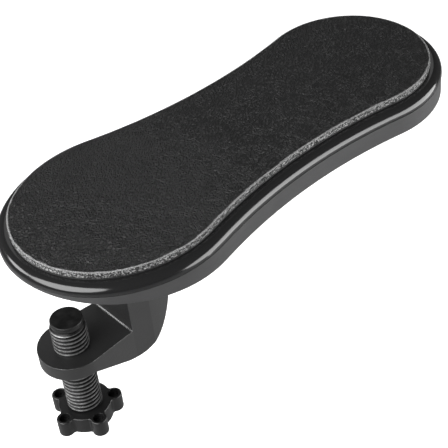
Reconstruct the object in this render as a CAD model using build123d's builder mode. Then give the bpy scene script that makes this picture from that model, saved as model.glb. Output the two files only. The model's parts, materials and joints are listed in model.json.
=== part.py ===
from build123d import *

import math
import os

# A clamp-on wrist rest: a padded plate with two round lobes and a waist, which swivels on a cast
# clamp bracket. A hand screw with a star knob closes the clamp on the edge of a desk.
#
# Millimetres. The origin is on the top face of the pad, where the plate's swivel axis comes out.
# +X runs along the plate, away from the desk, and +Z is up. The desk fills the clamp from the -X
# side, and its top lies at desk_top.

# ---- Plate: outline -----------------------------------------------------------------------------
plate_length = 265.0
near_tip_x = -62.5             # the end over the desk
near_end_radius = 54.5
near_shoulder_radius = 66.5
far_end_radius = 49.5
far_shoulder_radius = 52.0
lobe_end_angle = 57.0          # each end arc reaches this far either side of the long axis
waist_radius = 278.0

# ---- Plate: levels ------------------------------------------------------------------------------
skirt_bottom = -19.5
web_bottom = -10.9
groove_bottom = -9.7           # the seam shows as a groove between the two shells
seam_top = -8.9
deck_bottom = -5.6
bead_radius = 4.4
bead_width = 5.5               # solid ring under the bead
groove_depth = 1.0
skirt_inset = 0.3
skirt_wall = 2.8
rocker_start_x = 25.0          # from here to the near tip the underside rises on an arc
rocker_rise = 9.0

# ---- Pad ----------------------------------------------------------------------------------------
pad_inset = 6.2
adhesive_thickness = 0.2
foam_thickness = 3.1
leather_thickness = 0.8
rim_top = -(adhesive_thickness + foam_thickness + leather_thickness)

# ---- Underside of the plate ---------------------------------------------------------------------
rib_bottom = -17.0
rib_width = 1.8
rib_pitch = 26.0
long_ribs = 3
cross_ribs = 17
low_ribs = 12
swivel_clear_radius = 56.0     # deep ribs stay outside the sweep of the upper jaw
low_rib_bottom = -14.2
hub_radius = 25.0
hub_hole_radius = 15.6
shell_screw_columns = [(-45, 20), (12, 42), (85, 30), (167, 30)]    # one screw at +Y and one at -Y
shell_screw_places = [(x, side * y) for x, y in shell_screw_columns for side in (1, -1)]
shell_boss_radius = 4.5
shell_screw_radius = 1.7
shell_screw_head_radius = 3.4
shell_screw_head_height = 2.0
shell_screw_tip = -4.9

# ---- Swivel -------------------------------------------------------------------------------------
jaw_top = -16.0
bush_flange_radius = 19.0
bush_flange_thickness = 1.0
bush_sleeve_radius = 8.0
shoulder_radius = 6.0
running_clearance = 0.04
pivot_plate_radius = 23.5
pivot_plate_thickness = 2.5
pivot_plate_bottom = jaw_top + bush_flange_thickness
pivot_plate_top = pivot_plate_bottom + pivot_plate_thickness
plate_screw_pitch_radius = 19.6
plate_screw_radius = 1.6
plate_screw_head_radius = 3.0
plate_screw_top = -9.4
friction_washer_radius = 15.0
friction_washer_thickness = 0.8
flat_washer_radius = 14.0
flat_washer_thickness = 1.5
disc_spring_radius = 12.0
disc_spring_height = 1.2
disc_spring_thickness = 0.8
bolt_head_radius = 11.0
bolt_head_height = 3.0
bolt_socket_width = 6.0
bolt_socket_depth = 2.0
bolt_thread_radius = 4.0
bolt_end = -32.0
insert_radius = 7.0
insert_bottom = -35.0

# ---- Clamp bracket ------------------------------------------------------------------------------
desk_top = -22.0               # lower face of the upper jaw's pad
jaw_pad_thickness = 1.2
jaw_pad_inset = 2.5
jaw_tip_x = -32.0              # centre of the upper jaw's round tip
jaw_tip_radius = 18.0
jaw_root_radius = 20.0
column_front_x = -17.5         # the face that meets the edge of the desk
column_half_width = 15.4
column_strip_width = 0.7       # thin strip across the column's front, to draw the arm's taper to
column_flat_end_x = -5.2
column_back_x = 20.0
column_nose_x = 24.0           # where the two bowed flanks behind the flat sides would meet
column_flank_bow = 2.6
arm_top = -67.3
arm_thickness = 7.5
arm_root_bottom = -88.5
bend_start_x = -24.0           # the straight underside of the arm ends here
bend_start_z = -83.3
bend_reach = 32.0              # how far the bend carries on towards the back
bend_end_pull_z = -54.0        # how far down it keeps to the column's back
screw_x = -43.5
boss_radius = 17.4
countersink_radius = 12.8
countersink_depth = 1.6
core_front_x = -24.0
core_back_x = -2.0
core_half_width = 10.5
core_corner_radius = 4.0
core_roof = 8.0                # thickness of the arm above the coring

# ---- Clamp screw --------------------------------------------------------------------------------
thread_pitch = 2.5
thread_crest_radius = 9.0
thread_root_radius = 7.6
thread_crest_width = 0.5
thread_root_width = 2.1
thread_clearance = 0.15
thread_overlap = 0.2           # the ridge is sunk this far into its core
screw_top = -53.0
screw_end_chamfer = 1.2
boss_thread_turns = 6
boss_thread_offset = 12        # whole turns from the foot of the screw's thread to the boss's
knob_top = -108.0
shank_radius = 7.0
shank_flat_width = 12.0
shank_bottom = -116.0
socket_radius = 4.0
socket_bottom = -60.0
ring_groove_radius = 5.0
ring_groove_bottom = -58.8
ring_groove_height = 1.6

# ---- Pressure cap -------------------------------------------------------------------------------
cap_radius = 8.2
cap_bottom = -52.6
cap_thickness = 1.8
cap_pad_thickness = 1.3
stem_radius = 3.95
ring_thickness = 1.0
ring_inner_radius = 3.3
ring_outer_radius = 4.7
ring_gap = 2.0

# ---- Star knob ----------------------------------------------------------------------------------
knob_thickness = 9.8
knob_hub_radius = 13.6
knob_lobes = 5
knob_lobe_circle_radius = 14.7
knob_lobe_radius = 4.2
knob_first_lobe_angle = 116.0
knob_valley_rounding = 1.5
knob_edge_rounding = 0.7
lobe_hole_radius = 2.9
lobe_hole_depth = 3.5
knob_screw_radius = 2.5
knob_screw_length = 8.0
knob_screw_head_radius = 4.5
knob_screw_head_height = 2.4
knob_screw_slot_width = 1.2
knob_screw_slot_depth = 1.2

far_tip_x = near_tip_x + plate_length
knob_bottom = knob_top - knob_thickness

# Both threads start a whole number of turns apart, so that they are in mesh.
thread_turns = round((screw_top - knob_top) / thread_pitch) + 2
thread_bottom = knob_top - thread_pitch
boss_thread_bottom = thread_bottom + boss_thread_offset * thread_pitch


def direction(start, end):
    """Angle in degrees of the line from start to end."""
    return math.degrees(math.atan2(end.Y - start.Y, end.X - start.X))


def plate_face(inset):
    """The plate's outline drawn in by inset: two lobes and a concave waist, all tangent arcs."""
    near_end = Vector(near_tip_x + near_end_radius, 0)
    far_end = Vector(far_tip_x - far_end_radius, 0)
    near_turn = Vector(1, 0).rotate(Axis.Z, -lobe_end_angle)
    far_turn = Vector(-1, 0).rotate(Axis.Z, lobe_end_angle)
    near_shoulder = near_end + near_turn * (near_shoulder_radius - near_end_radius)
    far_shoulder = far_end + far_turn * (far_shoulder_radius - far_end_radius)

    # The waist's centre is one waist radius outside both shoulders.
    near_reach = near_shoulder_radius + waist_radius
    far_reach = far_shoulder_radius + waist_radius
    span = far_shoulder - near_shoulder
    along = (near_reach**2 - far_reach**2 + span.length**2) / (2 * span.length)
    across = math.sqrt(near_reach**2 - along**2)
    unit = span.normalized()
    waist = near_shoulder + unit * along + Vector(-unit.Y, unit.X) * across

    arcs = [
        (far_end, far_end_radius - inset, 0, lobe_end_angle),
        (far_shoulder, far_shoulder_radius - inset, lobe_end_angle, direction(far_shoulder, waist)),
        (waist, waist_radius + inset, direction(waist, far_shoulder), direction(waist, near_shoulder)),
        (near_shoulder, near_shoulder_radius - inset, direction(near_shoulder, waist), 180 - lobe_end_angle),
        (near_end, near_end_radius - inset, 180 - lobe_end_angle, 180),
    ]
    with BuildSketch() as outline:
        with BuildLine():
            for centre, radius, start, end in arcs:
                CenterArc(centre, radius, start, end - start)
            mirror(about=Plane.XZ)
        make_face()
    return outline.sketch


def threaded_rod(clearance, bottom, turns):
    """A rod with a helical thread on the screw's axis, grown by clearance all round."""
    root = thread_root_radius + clearance
    crest = thread_crest_radius + clearance
    root_half = (thread_root_width + clearance) / 2
    crest_half = (thread_crest_width + clearance) / 2
    inner = root - thread_overlap
    inner_half = root_half + (root_half - crest_half) * thread_overlap / (crest - root)
    with BuildPart() as ridge:
        with BuildLine() as path:
            Helix(thread_pitch, thread_pitch * turns, root, center=(screw_x, 0, bottom))
        with BuildSketch(Plane((screw_x, 0, bottom), x_dir=(1, 0, 0), z_dir=(0, -1, 0))) as section:
            Polygon(
                (inner, -inner_half),
                (crest, -crest_half),
                (crest, crest_half),
                (inner, inner_half),
                align=None,
            )
        sweep(sections=section.sketch, path=path.line, is_frenet=True)
    with BuildPart() as rod:
        with BuildSketch(Plane((screw_x, 0, bottom - thread_pitch))):
            Circle(root)
        extrude(amount=(turns + 2) * thread_pitch)
        add(ridge.part)
    return rod.part


os.makedirs("parts", exist_ok=True)

# ---- Pad: adhesive sheet, foam core and leather cover -------------------------------------------
with BuildPart() as adhesive_sheet:
    with BuildSketch(Plane.XY.offset(rim_top)):
        add(plate_face(pad_inset))
    extrude(amount=adhesive_thickness)
adhesive_sheet.part.label = "adhesive_sheet"
export_step(adhesive_sheet.part, "parts/adhesive_sheet.step")

foam_bottom = rim_top + adhesive_thickness
leather_bottom = foam_bottom + foam_thickness
with BuildPart() as foam_core:
    with BuildSketch(Plane.XY.offset(foam_bottom)):
        add(plate_face(pad_inset))
    extrude(amount=foam_thickness)
foam_core.part.label = "foam_core"
export_step(foam_core.part, "parts/foam_core.step")

with BuildPart() as leather_cover:
    with BuildSketch(Plane.XY.offset(leather_bottom)):
        add(plate_face(pad_inset))
    extrude(amount=leather_thickness)
leather_cover.part.label = "leather_cover"
export_step(leather_cover.part, "parts/leather_cover.step")

# ---- Top shell: deck with a rounded bead, and pillars for the shell screws ------------------------
with BuildPart() as top_shell:
    with BuildSketch(Plane.XY.offset(seam_top)):
        add(plate_face(0))
    extrude(amount=rim_top - seam_top)
    fillet(top_shell.faces().sort_by(Axis.Z)[-1].edges(), radius=bead_radius)
    with BuildSketch(Plane.XY.offset(seam_top)):
        add(plate_face(bead_width))
        with Locations(*shell_screw_places):
            Circle(shell_boss_radius, mode=Mode.SUBTRACT)
    extrude(amount=deck_bottom - seam_top, mode=Mode.SUBTRACT)
    with BuildSketch(Plane.XY.offset(seam_top)):
        with Locations(*shell_screw_places):
            Circle(shell_screw_radius)
    extrude(amount=shell_screw_tip - seam_top, mode=Mode.SUBTRACT)
top_shell.part.label = "top_shell"
export_step(top_shell.part, "parts/top_shell.step")

# ---- Bottom shell: skirt, web, ribs and the hub of the swivel -------------------------------------
with BuildPart() as bottom_shell:
    with BuildSketch(Plane.XY.offset(skirt_bottom)):
        add(plate_face(skirt_inset))
    extrude(amount=groove_bottom - skirt_bottom)
    with BuildSketch(Plane.XY.offset(groove_bottom)):
        add(plate_face(groove_depth))
    extrude(amount=seam_top - groove_bottom)
    with BuildSketch(Plane.XY.offset(skirt_bottom)):
        add(plate_face(skirt_inset + skirt_wall))
    extrude(amount=web_bottom - skirt_bottom, mode=Mode.SUBTRACT)

    # Deep ribs along and across the plate, outside the sweep of the upper jaw.
    with BuildSketch(Plane.XY.offset(rib_bottom)):
        with GridLocations(0, rib_pitch, 1, long_ribs):
            Rectangle(2 * plate_length, rib_width)
        with GridLocations(rib_pitch, 0, cross_ribs, 1):
            Rectangle(rib_width, plate_length)
        add(plate_face(skirt_inset + skirt_wall / 2), mode=Mode.INTERSECT)
        Circle(swivel_clear_radius, mode=Mode.SUBTRACT)
        with Locations((near_tip_x, 0)):
            Rectangle(2 * swivel_clear_radius, plate_length, mode=Mode.SUBTRACT)
    extrude(amount=web_bottom - rib_bottom)

    # Low ribs run out from the hub, above the upper jaw.
    with BuildSketch(Plane.XY.offset(low_rib_bottom)):
        with PolarLocations(0, low_ribs):
            Rectangle(2 * plate_length, rib_width)
        Circle(swivel_clear_radius + rib_width, mode=Mode.INTERSECT)
        add(plate_face(skirt_inset + skirt_wall / 2), mode=Mode.INTERSECT)
        Circle(pivot_plate_radius + rib_width / 2, mode=Mode.SUBTRACT)
    extrude(amount=web_bottom - low_rib_bottom)
    with BuildSketch(Plane.XY.offset(pivot_plate_top)):
        Circle(hub_radius)
    extrude(amount=web_bottom - pivot_plate_top)
    with BuildSketch(Plane.XY.offset(low_rib_bottom)):
        Circle(pivot_plate_radius + 2 * rib_width)
        Circle(pivot_plate_radius, mode=Mode.SUBTRACT)
    extrude(amount=web_bottom - low_rib_bottom)
    with BuildSketch(Plane.XY.offset(pivot_plate_top)):
        Circle(hub_hole_radius)
    extrude(amount=seam_top - pivot_plate_top, mode=Mode.SUBTRACT)
    with BuildSketch(Plane.XY.offset(pivot_plate_top)):
        with PolarLocations(plate_screw_pitch_radius, 4, start_angle=45):
            Circle(plate_screw_radius)
    extrude(amount=plate_screw_top - pivot_plate_top, mode=Mode.SUBTRACT)

    # Screw pillars: a clear ring around each head, and a hole through the web.
    with BuildSketch(Plane.XY.offset(web_bottom - shell_screw_head_height)):
        with Locations(*shell_screw_places):
            Circle(shell_boss_radius)
    extrude(amount=shell_screw_head_height)
    with BuildSketch(Plane.XY.offset(web_bottom - shell_screw_head_height)):
        with Locations(*shell_screw_places):
            Circle(shell_screw_head_radius)
    extrude(amount=shell_screw_head_height, mode=Mode.SUBTRACT)
    with BuildSketch(Plane.XY.offset(web_bottom)):
        with Locations(*shell_screw_places):
            Circle(shell_screw_radius)
    extrude(amount=seam_top - web_bottom, mode=Mode.SUBTRACT)

    # The underside rises towards the near tip.
    with BuildSketch(Plane.XZ):
        with BuildLine():
            rocker = RadiusArc(
                (rocker_start_x, skirt_bottom),
                (near_tip_x, skirt_bottom + rocker_rise),
                ((rocker_start_x - near_tip_x) ** 2 + rocker_rise**2) / (2 * rocker_rise),
            )
            Line(rocker @ 1, (near_tip_x - 1, skirt_bottom + rocker_rise))
            Line((near_tip_x - 1, skirt_bottom + rocker_rise), (near_tip_x - 1, skirt_bottom - 1))
            Line((near_tip_x - 1, skirt_bottom - 1), (rocker_start_x, skirt_bottom - 1))
            Line((rocker_start_x, skirt_bottom - 1), rocker @ 0)
        make_face()
    extrude(amount=near_shoulder_radius, both=True, mode=Mode.SUBTRACT)
bottom_shell.part.label = "bottom_shell"
export_step(bottom_shell.part, "parts/bottom_shell.step")

# ---- Shell screws: pan heads below the web, shanks up into the top shell ----------------------------
with BuildPart() as shell_screws:
    with BuildSketch(Plane.XY.offset(web_bottom - shell_screw_head_height)):
        with Locations(*shell_screw_places):
            Circle(shell_screw_head_radius - shell_screw_radius / 4)
    extrude(amount=shell_screw_head_height)
    chamfer(shell_screws.edges().group_by(Axis.Z)[0], length=shell_screw_head_height / 3)
    with BuildSketch(Plane.XY.offset(web_bottom)):
        with Locations(*shell_screw_places):
            Circle(shell_screw_radius)
    extrude(amount=shell_screw_tip - web_bottom)
    with BuildSketch(Plane.XY.offset(web_bottom - shell_screw_head_height)):
        with Locations(*shell_screw_places):
            Rectangle(2 * shell_screw_radius, shell_screw_radius / 2)
            Rectangle(shell_screw_radius / 2, 2 * shell_screw_radius)
    extrude(amount=shell_screw_head_height / 2, mode=Mode.SUBTRACT)
shell_screws.part.label = "shell_screws"
export_step(shell_screws.part, "parts/shell_screws.step")

# ---- Swivel: everything on the vertical axis through the origin -------------------------------------
with BuildPart() as pivot_plate:
    with BuildSketch(Plane.XY.offset(pivot_plate_bottom)):
        Circle(pivot_plate_radius)
        Circle(bush_sleeve_radius, mode=Mode.SUBTRACT)
    extrude(amount=pivot_plate_thickness)
    with Locations(Plane.XY.offset(pivot_plate_bottom).rotated((180, 0, 0))):
        with PolarLocations(plate_screw_pitch_radius, 4, start_angle=45):
            CounterSinkHole(plate_screw_radius, plate_screw_head_radius, counter_sink_angle=90)
pivot_plate.part.label = "pivot_plate"
export_step(pivot_plate.part, "parts/pivot_plate.step")

with BuildPart() as pivot_plate_screws:
    cone_height = plate_screw_head_radius - plate_screw_radius
    with Locations((0, 0, pivot_plate_bottom + cone_height / 2)):
        with PolarLocations(plate_screw_pitch_radius, 4, start_angle=45):
            Cone(plate_screw_head_radius, plate_screw_radius, cone_height)
    with BuildSketch(Plane.XY.offset(pivot_plate_bottom + cone_height)):
        with PolarLocations(plate_screw_pitch_radius, 4, start_angle=45):
            Circle(plate_screw_radius)
    extrude(amount=plate_screw_top - pivot_plate_bottom - cone_height)
    with BuildSketch(Plane.XY.offset(pivot_plate_bottom)):
        with PolarLocations(plate_screw_pitch_radius, 4, start_angle=45):
            Rectangle(2 * plate_screw_radius, plate_screw_radius / 2)
            Rectangle(plate_screw_radius / 2, 2 * plate_screw_radius)
    extrude(amount=cone_height / 2, mode=Mode.SUBTRACT)
pivot_plate_screws.part.label = "pivot_plate_screws"
export_step(pivot_plate_screws.part, "parts/pivot_plate_screws.step")

with BuildPart() as pivot_bush:
    with BuildSketch(Plane.XY.offset(jaw_top)):
        Circle(bush_flange_radius)
        Circle(shoulder_radius + running_clearance, mode=Mode.SUBTRACT)
    extrude(amount=bush_flange_thickness)
    with BuildSketch(Plane.XY.offset(pivot_plate_bottom)):
        Circle(bush_sleeve_radius)
        Circle(shoulder_radius + running_clearance, mode=Mode.SUBTRACT)
    extrude(amount=pivot_plate_thickness)
pivot_bush.part.label = "pivot_bush"
export_step(pivot_bush.part, "parts/pivot_bush.step")

with BuildPart() as friction_washer:
    with BuildSketch(Plane.XY.offset(pivot_plate_top)):
        Circle(friction_washer_radius)
        Circle(shoulder_radius, mode=Mode.SUBTRACT)
    extrude(amount=friction_washer_thickness)
friction_washer.part.label = "friction_washer"
export_step(friction_washer.part, "parts/friction_washer.step")

flat_washer_bottom = pivot_plate_top + friction_washer_thickness
with BuildPart() as flat_washer:
    with BuildSketch(Plane.XY.offset(flat_washer_bottom)):
        Circle(flat_washer_radius)
        Circle(shoulder_radius, mode=Mode.SUBTRACT)
    extrude(amount=flat_washer_thickness)
flat_washer.part.label = "flat_washer"
export_step(flat_washer.part, "parts/flat_washer.step")

disc_spring_bottom = flat_washer_bottom + flat_washer_thickness
bolt_head_bottom = disc_spring_bottom + disc_spring_height
with BuildPart() as disc_spring:
    rise = disc_spring_height - disc_spring_thickness
    with BuildSketch(Plane.XZ):
        with BuildLine():
            Polyline(
                (shoulder_radius + running_clearance, disc_spring_bottom + rise),
                (disc_spring_radius, disc_spring_bottom),
                (disc_spring_radius, disc_spring_bottom + disc_spring_thickness),
                (shoulder_radius + running_clearance, bolt_head_bottom),
                close=True,
            )
        make_face()
    revolve(axis=Axis.Z)
disc_spring.part.label = "disc_spring"
export_step(disc_spring.part, "parts/disc_spring.step")

with BuildPart() as shoulder_bolt:
    with BuildSketch(Plane.XY.offset(bolt_end)):
        Circle(bolt_thread_radius)
    extrude(amount=jaw_top - bolt_end)
    chamfer(shoulder_bolt.edges().group_by(Axis.Z)[0], length=bolt_thread_radius / 5)
    with BuildSketch(Plane.XY.offset(jaw_top)):
        Circle(shoulder_radius)
    extrude(amount=bolt_head_bottom - jaw_top)
    with BuildSketch(Plane.XY.offset(bolt_head_bottom)):
        Circle(bolt_head_radius)
    extrude(amount=bolt_head_height)
    chamfer(shoulder_bolt.edges().group_by(Axis.Z)[-1], length=bolt_head_height / 5)
    with BuildSketch(Plane.XY.offset(bolt_head_bottom + bolt_head_height)):
        RegularPolygon(bolt_socket_width / 2, 6, major_radius=False)
    extrude(amount=-bolt_socket_depth, mode=Mode.SUBTRACT)
shoulder_bolt.part.label = "shoulder_bolt"
export_step(shoulder_bolt.part, "parts/shoulder_bolt.step")

with BuildPart() as pivot_insert:
    with BuildSketch(Plane.XY.offset(insert_bottom)):
        Circle(insert_radius)
        Circle(bolt_thread_radius, mode=Mode.SUBTRACT)
    extrude(amount=jaw_top - insert_bottom)
pivot_insert.part.label = "pivot_insert"
export_step(pivot_insert.part, "parts/pivot_insert.step")

# ---- Clamp bracket: upper jaw, column and lower arm in one casting ----------------------------------
with BuildPart() as clamp_bracket:
    # Column and arm: the side profile, cut to the plan outline.
    with BuildSketch(Plane.XZ):
        with BuildLine():
            front = Polyline(
                (column_back_x, jaw_top),
                (column_front_x, jaw_top),
                (column_front_x, arm_top),
                (screw_x - 2 * boss_radius, arm_top),
                (screw_x - 2 * boss_radius, arm_top - arm_thickness),
                (screw_x, arm_top - arm_thickness),
                (bend_start_x, bend_start_z),
            )
            Bezier(
                front @ 1,
                (front @ 1) + bend_reach * (front % 1),
                (column_back_x, bend_end_pull_z),
                front @ 0,
            )
        make_face()
    extrude(amount=2 * boss_radius, both=True)
    with BuildSketch(Plane.XY.offset(jaw_top)):
        with Locations((screw_x, 0)):
            Circle(boss_radius)
        with Locations((column_front_x, 0)):
            Rectangle(column_strip_width, 2 * column_half_width)
        make_hull()
        with Locations(((column_front_x + column_flat_end_x) / 2, 0)):
            Rectangle(column_flat_end_x - column_front_x, 2 * column_half_width)
        with BuildLine():
            flank = SagittaArc(
                (column_flat_end_x, column_half_width),
                (column_nose_x, 0),
                column_flank_bow,
            )
            mirror(flank, about=Plane.XZ)
            Line((column_flat_end_x, column_half_width), (column_flat_end_x, -column_half_width))
        make_face()
    extrude(amount=2 * (arm_root_bottom - jaw_top), mode=Mode.INTERSECT)

    # Upper jaw, with a round seat under the swivel.
    with BuildSketch(Plane.XY.offset(desk_top + jaw_pad_thickness)):
        with Locations((jaw_tip_x, 0)):
            Circle(jaw_tip_radius)
        Circle(jaw_root_radius)
        make_hull()
    extrude(amount=jaw_top - desk_top - jaw_pad_thickness)

    # Seat of the threaded insert.
    with BuildSketch(Plane.XY.offset(jaw_top)):
        Circle(insert_radius)
    extrude(amount=insert_bottom - jaw_top, mode=Mode.SUBTRACT)

    # Threaded hole with a countersunk mouth.
    add(threaded_rod(thread_clearance, boss_thread_bottom, boss_thread_turns), mode=Mode.SUBTRACT)
    with Locations((screw_x, 0, arm_top - countersink_depth / 2)):
        Cone(
            thread_crest_radius + thread_clearance,
            countersink_radius,
            countersink_depth,
            mode=Mode.SUBTRACT,
        )

    # Coring from below lightens the arm and the column.
    with BuildSketch(Plane.XY.offset(2 * arm_root_bottom)):
        with Locations(((core_front_x + core_back_x) / 2, 0)):
            RectangleRounded(core_back_x - core_front_x, 2 * core_half_width, core_corner_radius)
    extrude(amount=arm_top - core_roof - 2 * arm_root_bottom, mode=Mode.SUBTRACT)
clamp_bracket.part.label = "clamp_bracket"
export_step(clamp_bracket.part, "parts/clamp_bracket.step")

with BuildPart() as jaw_pad:
    with BuildSketch(Plane.XY.offset(desk_top)):
        with Locations((jaw_tip_x, 0)):
            Circle(jaw_tip_radius - jaw_pad_inset)
        Circle(jaw_tip_radius - jaw_pad_inset)
        make_hull()
        with Locations((column_front_x - jaw_pad_inset, 0)):
            Rectangle(
                2 * jaw_root_radius,
                2 * jaw_root_radius,
                align=(Align.MIN, Align.CENTER),
                mode=Mode.SUBTRACT,
            )
    extrude(amount=jaw_pad_thickness)
jaw_pad.part.label = "jaw_pad"
export_step(jaw_pad.part, "parts/jaw_pad.step")

# ---- Clamp screw: helical thread, socket for the cap's stem, flatted shank for the knob -------------
with BuildPart() as clamp_screw:
    add(threaded_rod(0, thread_bottom, thread_turns))
    with BuildSketch(Plane((screw_x, 0, knob_top))):
        Circle(2 * thread_crest_radius)
    extrude(amount=screw_top - knob_top, mode=Mode.INTERSECT)
    with BuildSketch(Plane((screw_x, 0, 0), x_dir=(1, 0, 0), z_dir=(0, -1, 0))):
        Polygon(
            (thread_crest_radius - screw_end_chamfer, screw_top),
            (2 * thread_crest_radius, screw_top - thread_crest_radius - screw_end_chamfer),
            (2 * thread_crest_radius, screw_top),
            align=None,
        )
    revolve(axis=Axis((screw_x, 0, 0), (0, 0, 1)), mode=Mode.SUBTRACT)
    with BuildSketch(Plane((screw_x, 0, shank_bottom))):
        Circle(shank_radius)
        Rectangle(shank_flat_width, 2 * shank_radius, mode=Mode.INTERSECT)
    extrude(amount=knob_top - shank_bottom)
    with Locations((screw_x, 0, screw_top)):
        Hole(socket_radius, depth=screw_top - socket_bottom)
    with BuildSketch(Plane((screw_x, 0, ring_groove_bottom))):
        Circle(ring_groove_radius)
    extrude(amount=ring_groove_height, mode=Mode.SUBTRACT)
    with BuildSketch(Plane((screw_x, 0, shank_bottom))):
        Circle(knob_screw_radius)
    extrude(amount=knob_screw_length, mode=Mode.SUBTRACT)
clamp_screw.part.label = "clamp_screw"
export_step(clamp_screw.part, "parts/clamp_screw.step")

# ---- Pressure cap: disc on a stem, snap ring and rubber face ------------------------------------------
ring_bottom = ring_groove_bottom + (ring_groove_height - ring_thickness) / 2
with BuildPart() as pressure_cap:
    with BuildSketch(Plane((screw_x, 0, cap_bottom))):
        Circle(cap_radius)
    extrude(amount=cap_thickness)
    fillet(pressure_cap.edges().group_by(Axis.Z)[0], radius=cap_thickness / 4)
    with BuildSketch(Plane((screw_x, 0, socket_bottom))):
        Circle(stem_radius)
    extrude(amount=cap_bottom - socket_bottom)
    with BuildSketch(Plane((screw_x, 0, ring_bottom))):
        Circle(2 * stem_radius)
        Circle(ring_inner_radius, mode=Mode.SUBTRACT)
    extrude(amount=ring_thickness, mode=Mode.SUBTRACT)
pressure_cap.part.label = "pressure_cap"
export_step(pressure_cap.part, "parts/pressure_cap.step")

with BuildPart() as snap_ring:
    with BuildSketch(Plane((screw_x, 0, ring_bottom))):
        Circle(ring_outer_radius)
        Circle(ring_inner_radius, mode=Mode.SUBTRACT)
        Rectangle(2 * ring_outer_radius, ring_gap, align=(Align.MIN, Align.CENTER), mode=Mode.SUBTRACT)
    extrude(amount=ring_thickness)
snap_ring.part.label = "snap_ring"
export_step(snap_ring.part, "parts/snap_ring.step")

with BuildPart() as cap_pad:
    with BuildSketch(Plane((screw_x, 0, cap_bottom + cap_thickness))):
        Circle(cap_radius)
    extrude(amount=cap_pad_thickness)
    fillet(cap_pad.edges().group_by(Axis.Z)[-1], radius=cap_pad_thickness / 2)
cap_pad.part.label = "cap_pad"
export_step(cap_pad.part, "parts/cap_pad.step")

# ---- Star knob ------------------------------------------------------------------------------------------
with BuildPart() as star_knob:
    with BuildSketch(Plane((screw_x, 0, knob_bottom))) as star:
        Circle(knob_hub_radius)
        with PolarLocations(knob_lobe_circle_radius, knob_lobes, start_angle=knob_first_lobe_angle):
            Circle(knob_lobe_radius)
        fillet(star.vertices(), radius=knob_valley_rounding)
    extrude(amount=knob_thickness)
    outer_edges = star_knob.edges().group_by(Axis.Z)
    fillet(outer_edges[0] + outer_edges[-1], radius=knob_edge_rounding)
    with BuildSketch(Plane((screw_x, 0, knob_top))):
        with PolarLocations(knob_lobe_circle_radius, knob_lobes, start_angle=knob_first_lobe_angle):
            Circle(lobe_hole_radius)
    extrude(amount=-lobe_hole_depth, mode=Mode.SUBTRACT)
    with BuildSketch(Plane((screw_x, 0, shank_bottom))):
        Circle(shank_radius)
        Rectangle(shank_flat_width, 2 * shank_radius, mode=Mode.INTERSECT)
    extrude(amount=knob_top - shank_bottom, mode=Mode.SUBTRACT)
    with BuildSketch(Plane((screw_x, 0, knob_bottom))):
        Circle(knob_screw_head_radius)
    extrude(amount=shank_bottom - knob_bottom, mode=Mode.SUBTRACT)
star_knob.part.label = "star_knob"
export_step(star_knob.part, "parts/star_knob.step")

with BuildPart() as knob_screw:
    with BuildSketch(Plane((screw_x, 0, shank_bottom))):
        Circle(knob_screw_head_radius)
    extrude(amount=-knob_screw_head_height)
    chamfer(knob_screw.edges().group_by(Axis.Z)[0], length=knob_screw_head_height / 4)
    with BuildSketch(Plane((screw_x, 0, shank_bottom))):
        Circle(knob_screw_radius)
    extrude(amount=knob_screw_length)
    with BuildSketch(Plane((screw_x, 0, shank_bottom - knob_screw_head_height))):
        Rectangle(2 * knob_screw_head_radius, knob_screw_slot_width)
    extrude(amount=knob_screw_slot_depth, mode=Mode.SUBTRACT)
knob_screw.part.label = "knob_screw"
export_step(knob_screw.part, "parts/knob_screw.step")
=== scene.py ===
import json
import math

import bpy
import numpy as np
from mathutils import Matrix, Vector, geometry, noise


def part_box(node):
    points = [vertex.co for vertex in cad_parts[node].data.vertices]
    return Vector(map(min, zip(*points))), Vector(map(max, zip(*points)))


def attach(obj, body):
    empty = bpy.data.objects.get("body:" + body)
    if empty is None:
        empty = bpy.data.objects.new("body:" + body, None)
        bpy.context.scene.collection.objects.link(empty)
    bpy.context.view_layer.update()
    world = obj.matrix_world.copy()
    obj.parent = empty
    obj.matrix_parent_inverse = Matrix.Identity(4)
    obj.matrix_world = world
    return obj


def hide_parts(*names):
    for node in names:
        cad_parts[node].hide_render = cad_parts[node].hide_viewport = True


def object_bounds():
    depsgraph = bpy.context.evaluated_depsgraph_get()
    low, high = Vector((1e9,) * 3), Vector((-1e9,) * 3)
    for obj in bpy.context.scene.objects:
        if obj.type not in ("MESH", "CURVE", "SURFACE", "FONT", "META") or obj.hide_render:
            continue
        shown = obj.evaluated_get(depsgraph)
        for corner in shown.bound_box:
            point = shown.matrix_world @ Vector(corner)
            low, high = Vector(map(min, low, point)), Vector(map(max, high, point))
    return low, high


# A clamp-on wrist rest, dressed over its CAD frame. Everything is in metres, in the CAD's frame:
# the origin is on the pad's top, +X runs along the plate and +Z is up.

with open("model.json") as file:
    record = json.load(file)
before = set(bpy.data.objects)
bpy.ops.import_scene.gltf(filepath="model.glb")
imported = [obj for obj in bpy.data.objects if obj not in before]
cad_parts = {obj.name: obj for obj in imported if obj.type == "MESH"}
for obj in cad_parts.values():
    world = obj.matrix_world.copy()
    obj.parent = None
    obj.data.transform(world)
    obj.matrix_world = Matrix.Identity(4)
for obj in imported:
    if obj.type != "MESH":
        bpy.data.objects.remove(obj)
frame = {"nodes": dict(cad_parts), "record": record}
cad_low, cad_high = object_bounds()
nodes = frame["nodes"]
MM = 0.001

# ---- Camera -------------------------------------------------------------------------------------
CAMERA_AZIMUTH = math.radians(-37.57)
CAMERA_ELEVATION = math.radians(39.91)
CAMERA_ROLL = math.radians(-6.81)
CAMERA_DISTANCE = 0.592
CAMERA_LENS = 104.55
CAMERA_SHIFT = 0.0013
CAMERA_TARGET = Vector((0.0187, -0.0515, 0.0))

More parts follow.
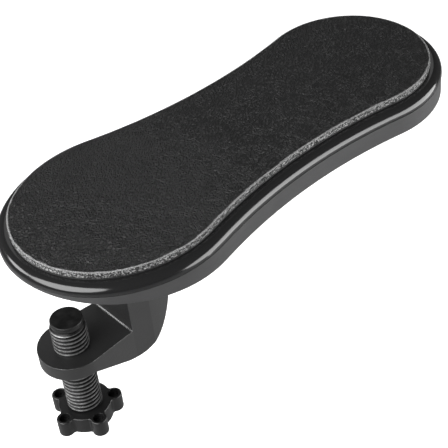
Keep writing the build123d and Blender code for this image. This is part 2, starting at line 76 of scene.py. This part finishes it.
# ---- Pad ----------------------------------------------------------------------------------------
COVER_THICKNESS = 0.45 * MM
COVER_GRID = 3.2 * MM           # spacing of the cover's points
COVER_ROLL = 0.25 * MM          # how far the cover's top edge is rounded in
FOAM_STEP = 0.5 * MM            # spacing of the points round the foam's wall
FOAM_ROWS = 7
FOAM_ROUGHNESS = 0.14 * MM
FOAM_TEAR = 0.8 * MM            # size of the lumps in the torn wall
SWELL_LIMIT = 0.7 * MM
SWELL_PRESSURE = 4.0
SWELL_FRAMES = 20

# ---- Grain of the pad's materials, in cells per metre -------------------------------------------
PEBBLES_PER_METRE = 560.0
WRINKLES_PER_METRE = 420.0
FIBRES_PER_METRE = 900.0


# ---- Materials ----------------------------------------------------------------------------------
class Shader:
    """A Principled material whose nodes are added one call at a time."""

    def __init__(self, name, **settings):
        self.material = bpy.data.materials.new(name)
        self.material.use_nodes = True
        self.tree = self.material.node_tree
        self.surface = self.tree.nodes["Principled BSDF"]
        for socket, value in settings.items():
            self.set(socket.title(), value)
        self.place = self.add("ShaderNodeTexCoord").outputs["Object"]

    def set(self, socket, value):
        self.feed(self.surface.inputs[socket], value)

    def feed(self, target, value):
        """Links a socket, or sets a plain value."""
        if isinstance(value, bpy.types.NodeSocket):
            self.tree.links.new(value, target)
        else:
            target.default_value = value

    def add(self, kind, inputs=(), **settings):
        node = self.tree.nodes.new(kind)
        for name, value in settings.items():
            setattr(node, name, value)
        for socket, value in dict(inputs).items():
            self.feed(node.inputs[socket], value)
        return node

    def math(self, operation, a, b):
        return self.add("ShaderNodeMath", {0: a, 1: b}, operation=operation).outputs["Value"]

    def vector(self, operation, inputs, output="Vector"):
        return self.add("ShaderNodeVectorMath", inputs, operation=operation).outputs[output]

    def position(self, axis):
        """One coordinate of the shaded point, in metres."""
        return self.add("ShaderNodeSeparateXYZ", {0: self.place}).outputs[axis]

    def noise(self, size, detail=2.0, roughness=0.5):
        """Cloudy noise whose blobs are about size metres across."""
        inputs = {"Vector": self.place, "Scale": 1 / size, "Detail": detail, "Roughness": roughness}
        return self.add("ShaderNodeTexNoise", inputs).outputs["Fac"]

    def remap(self, value, low, high, to_low=0.0, to_high=1.0):
        inputs = {"Value": value, "From Min": low, "From Max": high, "To Min": to_low, "To Max": to_high}
        return self.add("ShaderNodeMapRange", inputs).outputs["Result"]

    def mix(self, factor, first, second):
        """Blends two colours. In a mix node, sockets 6 and 7 are its colours and output 2 the blend."""
        node = self.add("ShaderNodeMix", {0: factor, 6: first, 7: second}, data_type="RGBA")
        return node.outputs[2]

    def bump(self, height, distance, normal=None, strength=1.0):
        inputs = {"Height": height, "Distance": distance, "Strength": strength}
        if normal is not None:
            inputs["Normal"] = normal
        return self.add("ShaderNodeBump", inputs).outputs["Normal"]

    def crevice_shade(self, distance):
        """Painted-shade mask: 1 in the open, falling to 0 in seams and corners narrower than distance.
        """
        inputs = {"Distance": distance}
        open_share = self.add("ShaderNodeAmbientOcclusion", inputs, samples=8).outputs["AO"]
        return self.remap(open_share, 0.35, 0.8)

    def soft_edges(self, radius):
        """Normals rounded over sharp edges, and a mask that is 1 along those edges."""
        rounded = self.add("ShaderNodeBevel", {"Radius": radius}, samples=6).outputs["Normal"]
        flat = self.add("ShaderNodeNewGeometry").outputs["Normal"]
        agreement = self.vector("DOT_PRODUCT", {0: rounded, 1: flat}, output="Value")
        return rounded, self.remap(agreement, 0.995, 0.90)


def grey(value):
    return (value, value, value, 1.0)


def cool(value):
    """A grey with a trace of blue, as black plastic and paint have."""
    return (value, value, 1.02 * value, 1.0)


def leather():
    """Black cover with an irregular pebble grain, deeper in the near lobe, and finer pores."""
    s = Shader("leather_pebble")
    wrinkle = {"Vector": s.place, "Scale": WRINKLES_PER_METRE, "Detail": 3.0}
    warp = s.add("ShaderNodeTexNoise", wrinkle).outputs["Color"]
    bend = s.vector("SCALE", {0: warp, "Scale": 2.4 * MM})
    warped = s.vector("ADD", {0: s.place, 1: bend})
    pebble = {"Vector": warped, "Scale": PEBBLES_PER_METRE, "Randomness": 1.0}
    cells = s.add("ShaderNodeTexVoronoi", pebble, feature="DISTANCE_TO_EDGE").outputs["Distance"]
    pebbles = s.remap(cells, 0.0, 0.22)
    coarse = s.noise(9 * MM)
    fine = s.noise(0.8 * MM, detail=4.0, roughness=0.6)
    near = s.remap(s.position("X"), -50 * MM, 60 * MM, 1.0, 0.27)
    depth = s.math("MULTIPLY", s.remap(coarse, 0.3, 0.7, 0.4, 1.0), near)
    normal = s.bump(s.math("MULTIPLY", pebbles, depth), 1.6 * MM)
    s.set("Normal", s.bump(s.math("MULTIPLY", fine, depth), 1.1 * MM, normal))
    tone = s.mix(pebbles, grey(0.002), cool(0.011))
    cloud = s.remap(s.noise(30 * MM), 0.3, 0.7)
    s.set("Base Color", s.mix(s.math("MULTIPLY", cloud, 0.3), tone, cool(0.012)))
    s.set("Roughness", s.remap(fine, 0.3, 0.7, 0.27, 0.44))
    glint = s.remap(s.math("MULTIPLY", pebbles, fine), 0.2, 0.6, -0.1, 0.7)
    s.set("Specular IOR Level", s.math("ADD", s.math("MULTIPLY", glint, depth), 0.4))
    return s.material


def cover_edge():
    """Pale cut edge of the cover, where the backing cloth shows."""
    s = Shader("leather_cut_edge", roughness=0.8)
    fibre = s.remap(s.noise(0.5 * MM, detail=3.0), 0.35, 0.65)
    s.set("Base Color", s.mix(fibre, grey(0.05), grey(0.34)))
    s.set("Normal", s.bump(fibre, 0.1 * MM))
    return s.material


def foam():
    """Cut edge of the pad's core: light and dark fibres at random, with painted shade darkening the
    bottom.
    """
    s = Shader("foam_melange", roughness=0.9)
    fleck = s.remap(s.noise(0.75 * MM, detail=3.0, roughness=0.6), 0.50, 0.55)
    grain = {"Vector": s.place, "Scale": FIBRES_PER_METRE}
    fibres = s.add("ShaderNodeTexVoronoi", grain, feature="F1").outputs["Distance"]
    blend = s.math("MULTIPLY", fleck, s.remap(fibres, 0.1, 0.7, 1.0, 0.3))
    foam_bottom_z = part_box("foam_core")[0].z
    # Painted shade: the band darkens towards its bottom and is almost black in the lowest 0.3 mm.
    unshaded_share = s.remap(s.position("Z"), foam_bottom_z + 0.3 * MM, foam_bottom_z + 1.1 * MM, 0.05, 1.0)
    blend = s.math("MULTIPLY", blend, unshaded_share)
    s.set("Base Color", s.mix(blend, grey(0.006), grey(0.52)))
    s.set("Normal", s.bump(blend, 0.2 * MM))
    return s.material


def gloss_plastic():
    """Polished black moulding with faint flow marks and hairline scuffs."""
    s = Shader("gloss_black")
    flow = s.noise(18 * MM)
    scuff = s.noise(0.9 * MM, detail=5.0, roughness=0.7)
    polish = s.remap(flow, 0.3, 0.7, 0.10, 0.16)
    s.set("Roughness", s.math("ADD", polish, s.remap(scuff, 0.62, 0.8, 0, 0.12)))
    rounded, edge = s.soft_edges(0.25 * MM)
    s.set("Normal", s.bump(s.noise(3.5 * MM), 0.02 * MM, rounded, strength=0.5))
    s.set("Base Color", s.mix(edge, cool(0.010), grey(0.03)))
    return s.material


def satin_plastic(name, tone, roughness):
    """Satin moulding with a spark-eroded grain, slightly paler edges and painted shade in seams."""
    s = Shader(name)
    fine = s.noise(0.3 * MM, detail=3.0)
    cloud = s.noise(22 * MM)
    rounded, edge = s.soft_edges(0.3 * MM)
    s.set("Normal", s.bump(fine, 0.035 * MM, rounded))
    body = s.mix(s.remap(cloud, 0.3, 0.7), cool(0.9 * tone), cool(1.12 * tone))
    s.set("Base Color", s.mix(s.math("MULTIPLY", edge, 0.15), body, cool(2.2 * tone)))
    s.set("Roughness", s.remap(fine, 0.3, 0.7, roughness - 0.05, roughness + 0.07))
    # Painted shade: seams and corners reflect less where the ambient occlusion mask falls.
    s.set("Specular IOR Level", s.math("MULTIPLY", s.crevice_shade(1.6 * MM), 0.4))
    return s.material


def cast_paint(name, roughness):
    """Satin black coat over a casting: orange peel, fine grit and thinner paint along the edges."""
    s = Shader(name)
    peel = s.noise(1.4 * MM, detail=2.0)
    grit = s.noise(0.22 * MM, detail=2.0)
    rounded, edge = s.soft_edges(0.55 * MM)
    normal = s.bump(peel, 0.05 * MM, rounded)
    s.set("Normal", s.bump(grit, 0.018 * MM, normal))
    wear = s.math("MULTIPLY", edge, s.remap(s.noise(3 * MM, detail=4.0), 0.42, 0.62))
    tone = s.mix(s.remap(s.noise(25 * MM), 0.3, 0.7), cool(0.005), cool(0.009))
    s.set("Base Color", s.mix(s.math("MULTIPLY", wear, 0.5), tone, grey(0.13)))
    s.set("Roughness", s.remap(grit, 0.3, 0.7, roughness - 0.08, roughness + 0.06))
    s.set("Specular IOR Level", 0.7)
    return s.material


def thread_metal(axis_x, crest_radius):
    """Black oxide on steel, with a painted highlight: brighter colour on the thread's crests."""
    s = Shader("screw_black_oxide", metallic=0.6)
    centred = s.vector("SUBTRACT", {0: s.place, 1: (axis_x, 0, 0)})
    across = s.vector("MULTIPLY", {0: centred, 1: (1, 1, 0)})
    radius = s.vector("LENGTH", {0: across}, output="Value")
    crest = s.remap(radius, crest_radius - 0.5 * MM, crest_radius - 0.05 * MM)
    # Painted highlight: the crests' colour is brightened in patches, and the crests are also glossier.
    painted_crest_highlight = s.math("MULTIPLY", crest, s.remap(s.noise(1.6 * MM, detail=4.0), 0.3, 0.7, 0.35, 1.0))
    s.set("Base Color", s.mix(painted_crest_highlight, grey(0.003), grey(0.22)))
    s.set("Roughness", s.remap(painted_crest_highlight, 0, 1, 0.42, 0.26))
    s.set("Normal", s.bump(s.noise(0.25 * MM, detail=3.0), 0.02 * MM))
    return s.material


def rubber():
    """Smooth moulded rubber with a dusty bloom."""
    s = Shader("rubber_black")
    bloom = s.remap(s.noise(4 * MM, detail=4.0), 0.35, 0.75)
    s.set("Base Color", s.mix(bloom, grey(0.003), grey(0.007)))
    s.set("Roughness", s.remap(bloom, 0, 1, 0.42, 0.6))
    s.set("Specular IOR Level", 0.3)
    s.set("Normal", s.bump(s.noise(0.3 * MM), 0.02 * MM, s.soft_edges(0.25 * MM)[0]))
    return s.material


def metal(name, color, roughness):
    """Plated or bare metal with a fine turned grain and duller patches."""
    s = Shader(name, metallic=1.0)
    patch = s.noise(2.5 * MM, detail=4.0)
    s.set("Roughness", s.remap(patch, 0.3, 0.7, roughness - 0.08, roughness + 0.12))
    dull = tuple(0.7 * c for c in color)
    s.set("Base Color", s.mix(s.remap(patch, 0.35, 0.75), (*color, 1), (*dull, 1)))
    s.set("Normal", s.bump(s.noise(0.2 * MM, detail=2.0), 0.01 * MM, s.soft_edges(0.2 * MM)[0]))
    return s.material


def plain_plastic(name, color, roughness):
    """Unpainted plastic with a mottled tone and a fine grain."""
    s = Shader(name, roughness=roughness)
    dark = tuple(0.82 * c for c in color)
    s.set("Base Color", s.mix(s.remap(s.noise(3 * MM, detail=3.0), 0.3, 0.7), (*dark, 1), (*color, 1)))
    s.set("Normal", s.bump(s.noise(0.25 * MM), 0.02 * MM))
    return s.material


def paint(material, *names):
    """Gives CAD nodes a material in every slot."""
    for name in names:
        slots = nodes[name].material_slots
        if not slots:
            nodes[name].data.materials.append(material)
        for slot in slots:
            slot.material = material


# ---- Pad ----------------------------------------------------------------------------------------
def plan_ring(node, step, at_top):
    """The outline of a flat CAD node at its top or bottom, as evenly spaced points in plan."""
    co = np.array([v.co for v in nodes[node].data.vertices])
    level = co[:, 2].max() if at_top else co[:, 2].min()
    edge = np.unique(co[np.abs(co[:, 2] - level) < 0.01 * MM, :2].round(6), axis=0)
    centre = (edge.max(0) + edge.min(0)) / 2
    order = np.argsort(np.arctan2(edge[:, 1] - centre[1], edge[:, 0] - centre[0]))
    loop = np.vstack([edge[order], edge[order[:1]]])
    length = np.concatenate([[0], np.cumsum(np.hypot(*np.diff(loop, axis=0).T))])
    count = round(length[-1] / step)
    along = np.linspace(0, length[-1], count, endpoint=False)
    return np.column_stack([np.interp(along, length, loop[:, i]) for i in range(2)])


def outward(ring):
    """Unit normals of a counter-clockwise ring, pointing out."""
    run = np.roll(ring, -1, axis=0) - np.roll(ring, 1, axis=0)
    return np.column_stack([run[:, 1], -run[:, 0]]) / np.hypot(*run.T)[:, None]


def make_object(name, verts, faces, materials):
    mesh = bpy.data.meshes.new(name)
    mesh.from_pydata([tuple(map(float, v)) for v in verts], [], faces)
    mesh.validate()
    for material in materials:
        mesh.materials.append(material)
    obj = bpy.data.objects.new(name, mesh)
    bpy.context.scene.collection.objects.link(obj)
    return obj


def bridge(first, second, count):
    """Quads between two rings of count points that start at those indices."""
    return [
        (first + i, first + (i + 1) % count, second + (i + 1) % count, second + i)
        for i in range(count)
    ]


def foam_edge(material):
    """The pad's core: a band with a torn, fibrous surface, closed above and below."""
    low_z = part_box("foam_core")[0].z
    top_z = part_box("leather_cover")[1].z - COVER_THICKNESS
    bottom = plan_ring("foam_core", FOAM_STEP, at_top=False)
    inner = plan_ring("leather_cover", FOAM_STEP, at_top=True)
    count = len(bottom)
    inner = inner[np.arange(count) * len(inner) // count]
    normals = outward(bottom)
    verts = []
    for row in range(FOAM_ROWS + 1):
        share = row / FOAM_ROWS
        z = low_z + (top_z - low_z) * share
        rough = FOAM_ROUGHNESS * math.sin(math.pi * min(max(share, 0.12), 0.88))
        for i in range(count):
            flat = bottom[i] * (1 - share) + inner[i] * share
            place = Vector((*flat, z)) / FOAM_TEAR
            push = rough * (noise.noise(place) + 0.5 * noise.noise(place * 2.1))
            verts.append((*(flat + normals[i] * push), z))
    faces = []
    for row in range(FOAM_ROWS):
        faces += bridge(row * count, (row + 1) * count, count)
    faces.append(tuple(reversed(range(count))))
    faces.append(tuple(range(FOAM_ROWS * count, (FOAM_ROWS + 1) * count)))
    obj = make_object("pad_foam_edge", verts, faces, [material])
    for face in obj.data.polygons[:-2]:
        face.use_smooth = True
    return obj


def swell(cover, pinned):
    """Blows the cover up a little with a cloth simulation. The pinned points stay where they are."""
    trial = bpy.data.objects.new("swell_trial", cover.data.copy())
    bpy.context.scene.collection.objects.link(trial)
    pins = trial.vertex_groups.new(name="pins")
    pins.add([int(i) for i in pinned], 1.0, "REPLACE")
    cloth = trial.modifiers.new("swell", "CLOTH")
    cloth.settings.vertex_group_mass = "pins"
    cloth.settings.use_pressure = True
    cloth.settings.uniform_pressure_force = SWELL_PRESSURE
    cloth.settings.tension_stiffness = 40.0
    cloth.settings.compression_stiffness = 40.0
    cloth.settings.bending_stiffness = 8.0
    cloth.settings.effector_weights.gravity = 0.0
    cloth.point_cache.frame_start = 1
    cloth.point_cache.frame_end = SWELL_FRAMES
    scene = bpy.context.scene
    for step in range(1, SWELL_FRAMES + 1):
        scene.frame_set(step)
    shaped = trial.evaluated_get(bpy.context.evaluated_depsgraph_get()).to_mesh()
    lift = np.array([s.co.z - r.co.z for s, r in zip(shaped.vertices, cover.data.vertices)])
    bpy.data.objects.remove(trial)
    scene.frame_set(1)
    return lift


def cover_top(top_material, edge_material):
    """The leather cover: a thin sheet with a rolled, cut edge and a slightly crowned top."""
    top_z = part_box("leather_cover")[1].z
    ring = plan_ring("leather_cover", COVER_GRID, at_top=True)
    count = len(ring)
    inner = ring - outward(ring) * COVER_ROLL
    x = np.arange(cad_low.x, cad_high.x, COVER_GRID)
    y = np.arange(cad_low.y, cad_high.y, COVER_GRID * math.sqrt(3) / 2)
    grid = [Vector((a + (j % 2) * COVER_GRID / 2, b)) for j, b in enumerate(y) for a in x]
    spacing = 0.6 * COVER_GRID
    inside = [p for p in grid if deep_inside(p, inner, spacing)]
    loop = [Vector(p) for p in inner]
    edges = [(i, (i + 1) % count) for i in range(count)]
    flat, _, triangles, *_ = geometry.delaunay_2d_cdt(loop + inside, edges, [], 1, 1e-7)
    verts = [(p.x, p.y, top_z) for p in flat]
    faces = [tuple(t) for t in triangles]
    wall = len(verts)
    verts += [(*p, top_z - COVER_ROLL) for p in ring]
    verts += [(*p, top_z - COVER_THICKNESS) for p in ring]
    faces += bridge(wall, 0, count)
    side = len(faces)
    faces += bridge(wall + count, wall, count)
    faces.append(tuple(reversed(range(wall + count, wall + 2 * count))))
    cover = make_object("pad_leather_cover", verts, faces, [top_material, edge_material])
    for face in cover.data.polygons[:-1]:
        face.use_smooth = True
    for face in cover.data.polygons[side - count:side + count]:
        face.material_index = 1
    lift = swell(cover, [*range(count), *range(wall, len(verts))])
    lift = SWELL_LIMIT * (1 - np.exp(-np.maximum(lift, 0) / SWELL_LIMIT))
    for vertex, rise in zip(cover.data.vertices, lift):
        vertex.co.z += rise
    crease = cover.data.attributes.new("crease_edge", "FLOAT", "EDGE")
    for edge in cover.data.edges:
        if all(v >= wall for v in edge.vertices):
            crease.data[edge.index].value = 1.0
    fine = cover.modifiers.new("fine", "SUBSURF")
    fine.levels = 2
    fine.render_levels = 2
    return cover


def deep_inside(point, ring, margin):
    """True where a point is inside the ring and at least margin from it."""
    x, y = point
    a, b = ring, np.roll(ring, -1, axis=0)
    if np.hypot(a[:, 0] - x, a[:, 1] - y).min() < margin:
        return False
    crosses = (a[:, 1] > y) != (b[:, 1] > y)
    at = a[:, 0] + (y - a[:, 1]) * (b[:, 0] - a[:, 0]) / np.where(crosses, b[:, 1] - a[:, 1], 1)
    return bool((crosses & (at > x)).sum() % 2)


# ---- Casting ------------------------------------------------------------------------------------
def corner_fillet(material, radius=0.9 * MM, steps=6, buried=0.3 * MM):
    """The small concave fillet in the casting's inner corner, between the upright face and the arm."""
    co = np.array([v.co for v in nodes["clamp_bracket"].data.vertices])
    tip_x = co[:, 0].min()
    arm_top = co[co[:, 0] < tip_x + 2 * MM, 2].max()
    front_x = next(m["pos_m"][0] for m in frame["record"]["mounts"] if m["name"] == "desk_edge_stop")
    corner = (np.abs(co[:, 0] - front_x) < 0.1 * MM) & (np.abs(co[:, 2] - arm_top) < 0.1 * MM)
    half = np.abs(co[corner, 1]).max()
    turns = [math.pi / 2 * i / steps for i in range(steps + 1)]
    centre = (front_x - radius, arm_top + radius)
    profile = [(centre[0] + radius * math.sin(t), centre[1] - radius * math.cos(t)) for t in turns]
    profile.append((front_x + buried, arm_top - buried))
    count = len(profile)
    verts = [(x, side * half, z) for side in (-1, 1) for x, z in profile]
    faces = [tuple(reversed(f)) for f in bridge(0, count, count)]
    faces += [tuple(range(count)), tuple(reversed(range(count, 2 * count)))]
    fillet = make_object("bracket_corner_fillet", verts, faces, [material])
    for face in fillet.data.polygons[:-2]:
        face.use_smooth = True
    fillet.data.set_sharp_from_angle(angle=math.radians(35))
    return fillet


# ---- Pieces of the pad --------------------------------------------------------------------------
foam_piece = foam_edge(foam())
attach(foam_piece, "plate")
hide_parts("foam_core")

cover_piece = cover_top(leather(), cover_edge())
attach(cover_piece, "plate")
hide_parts("leather_cover")

# ---- Finishes of the CAD nodes ------------------------------------------------------------------
screw_low, screw_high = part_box("clamp_screw")
zinc = metal("zinc_plate", (0.55, 0.55, 0.53), 0.34)
black_steel = metal("blued_spring_steel", (0.16, 0.16, 0.18), 0.38)
black_plastic = satin_plastic("knob_black", 0.006, roughness=0.34)
screw_axis_x = (screw_low.x + screw_high.x) / 2
thread_radius = (screw_high.x - screw_low.x) / 2

paint(gloss_plastic(), "top_shell")
paint(satin_plastic("skirt_satin", 0.040, roughness=0.40), "bottom_shell")
paint(cast_paint("cast_black", 0.44), "clamp_bracket")
paint(thread_metal(screw_axis_x, thread_radius), "clamp_screw")
paint(black_plastic, "star_knob", "pressure_cap")
paint(rubber(), "cap_pad", "jaw_pad")
paint(zinc, "shell_screws", "pivot_plate", "pivot_plate_screws")
paint(zinc, "flat_washer", "shoulder_bolt", "knob_screw")
paint(black_steel, "disc_spring", "snap_ring")
paint(metal("turned_brass", (0.70, 0.52, 0.25), 0.3), "pivot_insert")
paint(plain_plastic("natural_acetal", (0.74, 0.73, 0.68), 0.4), "pivot_bush")
paint(plain_plastic("friction_sheet", (0.16, 0.11, 0.06), 0.7), "friction_washer")
paint(plain_plastic("adhesive_film", (0.03, 0.03, 0.03), 0.5), "adhesive_sheet")

# ---- Piece of the casting -----------------------------------------------------------------------
fillet_piece = corner_fillet(cast_paint("cast_black_pooled", 0.24))
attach(fillet_piece, "bracket")

# ---- Stage --------------------------------------------------------------------------------------
FLOOR_DROP = 0.16               # from the knob down to the floor
FLOOR_REACH = 8.0
FLOOR_GLOW = 0.55
FLOOR_IN_REFLECTIONS = 0.34
WORLD_LIGHT = 0.12


def make_floor():
    """A wide floor, pale to the camera and darker in reflections, so little light comes from below."""
    z = cad_low.z - FLOOR_DROP
    corners = [(x * FLOOR_REACH, y * FLOOR_REACH, z) for x, y in ((-1, -1), (1, -1), (1, 1), (-1, 1))]
    s = Shader("floor_pale", roughness=0.8)
    pale = s.mix(s.remap(s.noise(0.9), 0.3, 0.7), grey(0.84), grey(0.87))
    seen = s.add("ShaderNodeLightPath").outputs["Is Camera Ray"]
    s.set("Base Color", s.mix(seen, grey(FLOOR_IN_REFLECTIONS), pale))
    s.set("Emission Color", grey(1.0))
    s.set("Emission Strength", s.math("MULTIPLY", seen, FLOOR_GLOW))
    floor = make_object("floor", corners, [(0, 1, 2, 3)], [s.material])


def softbox(name, toward, distance, width, height, power):
    """A large elliptical soft light that stands in a direction from the object and faces it."""
    light = bpy.data.lights.new(name, "AREA")
    light.shape = "ELLIPSE"
    light.size = width
    light.size_y = height
    light.energy = power
    lamp = bpy.data.objects.new(name, light)
    bpy.context.scene.collection.objects.link(lamp)
    centre = (cad_low + cad_high) / 2
    way = Vector(toward).normalized()
    lamp.location = centre + way * distance
    lamp.rotation_euler = way.to_track_quat("Z", "Y").to_euler()


def make_camera():
    """Camera at the viewing angle, with a slight roll."""
    camera = bpy.data.objects.new("camera", bpy.data.cameras.new("camera"))
    bpy.context.scene.collection.objects.link(camera)
    flat = math.cos(CAMERA_ELEVATION)
    back = Vector((
        math.sin(CAMERA_AZIMUTH) * flat,
        -math.cos(CAMERA_AZIMUTH) * flat,
        math.sin(CAMERA_ELEVATION),
    ))
    right = Vector((math.cos(CAMERA_AZIMUTH), math.sin(CAMERA_AZIMUTH), 0))
    up = back.cross(right)
    upright = Matrix((right, up, back)).transposed()
    turned = (upright @ Matrix.Rotation(CAMERA_ROLL, 3, "Z")).to_4x4()
    camera.matrix_world = Matrix.Translation(CAMERA_TARGET + back * CAMERA_DISTANCE) @ turned
    camera.data.lens = CAMERA_LENS
    camera.data.shift_x = CAMERA_SHIFT
    camera.data.shift_y = -CAMERA_SHIFT
    camera.data.clip_start = 0.01
    bpy.context.scene.camera = camera


def make_world():
    world = bpy.data.worlds.new("studio")
    world.use_nodes = True
    back = world.node_tree.nodes["Background"]
    back.inputs["Color"].default_value = grey(1.0)
    back.inputs["Strength"].default_value = WORLD_LIGHT
    bpy.context.scene.world = world


make_floor()
make_world()
make_camera()
softbox("key_right", (0.66, -0.75, 0.05), 0.9, 1.15, 0.66, 14.0)
softbox("front_left", (-0.90, -0.06, 0.56), 0.9, 1.05, 0.75, 16.0)
softbox("back_left", (-0.66, 0.60, 0.40), 0.9, 0.4, 0.3, 2.5)
softbox("back_top", (0.45, 0.62, 0.62), 1.1, 0.8, 0.5, 0.7)
bpy.context.scene.view_settings.view_transform = "Standard"
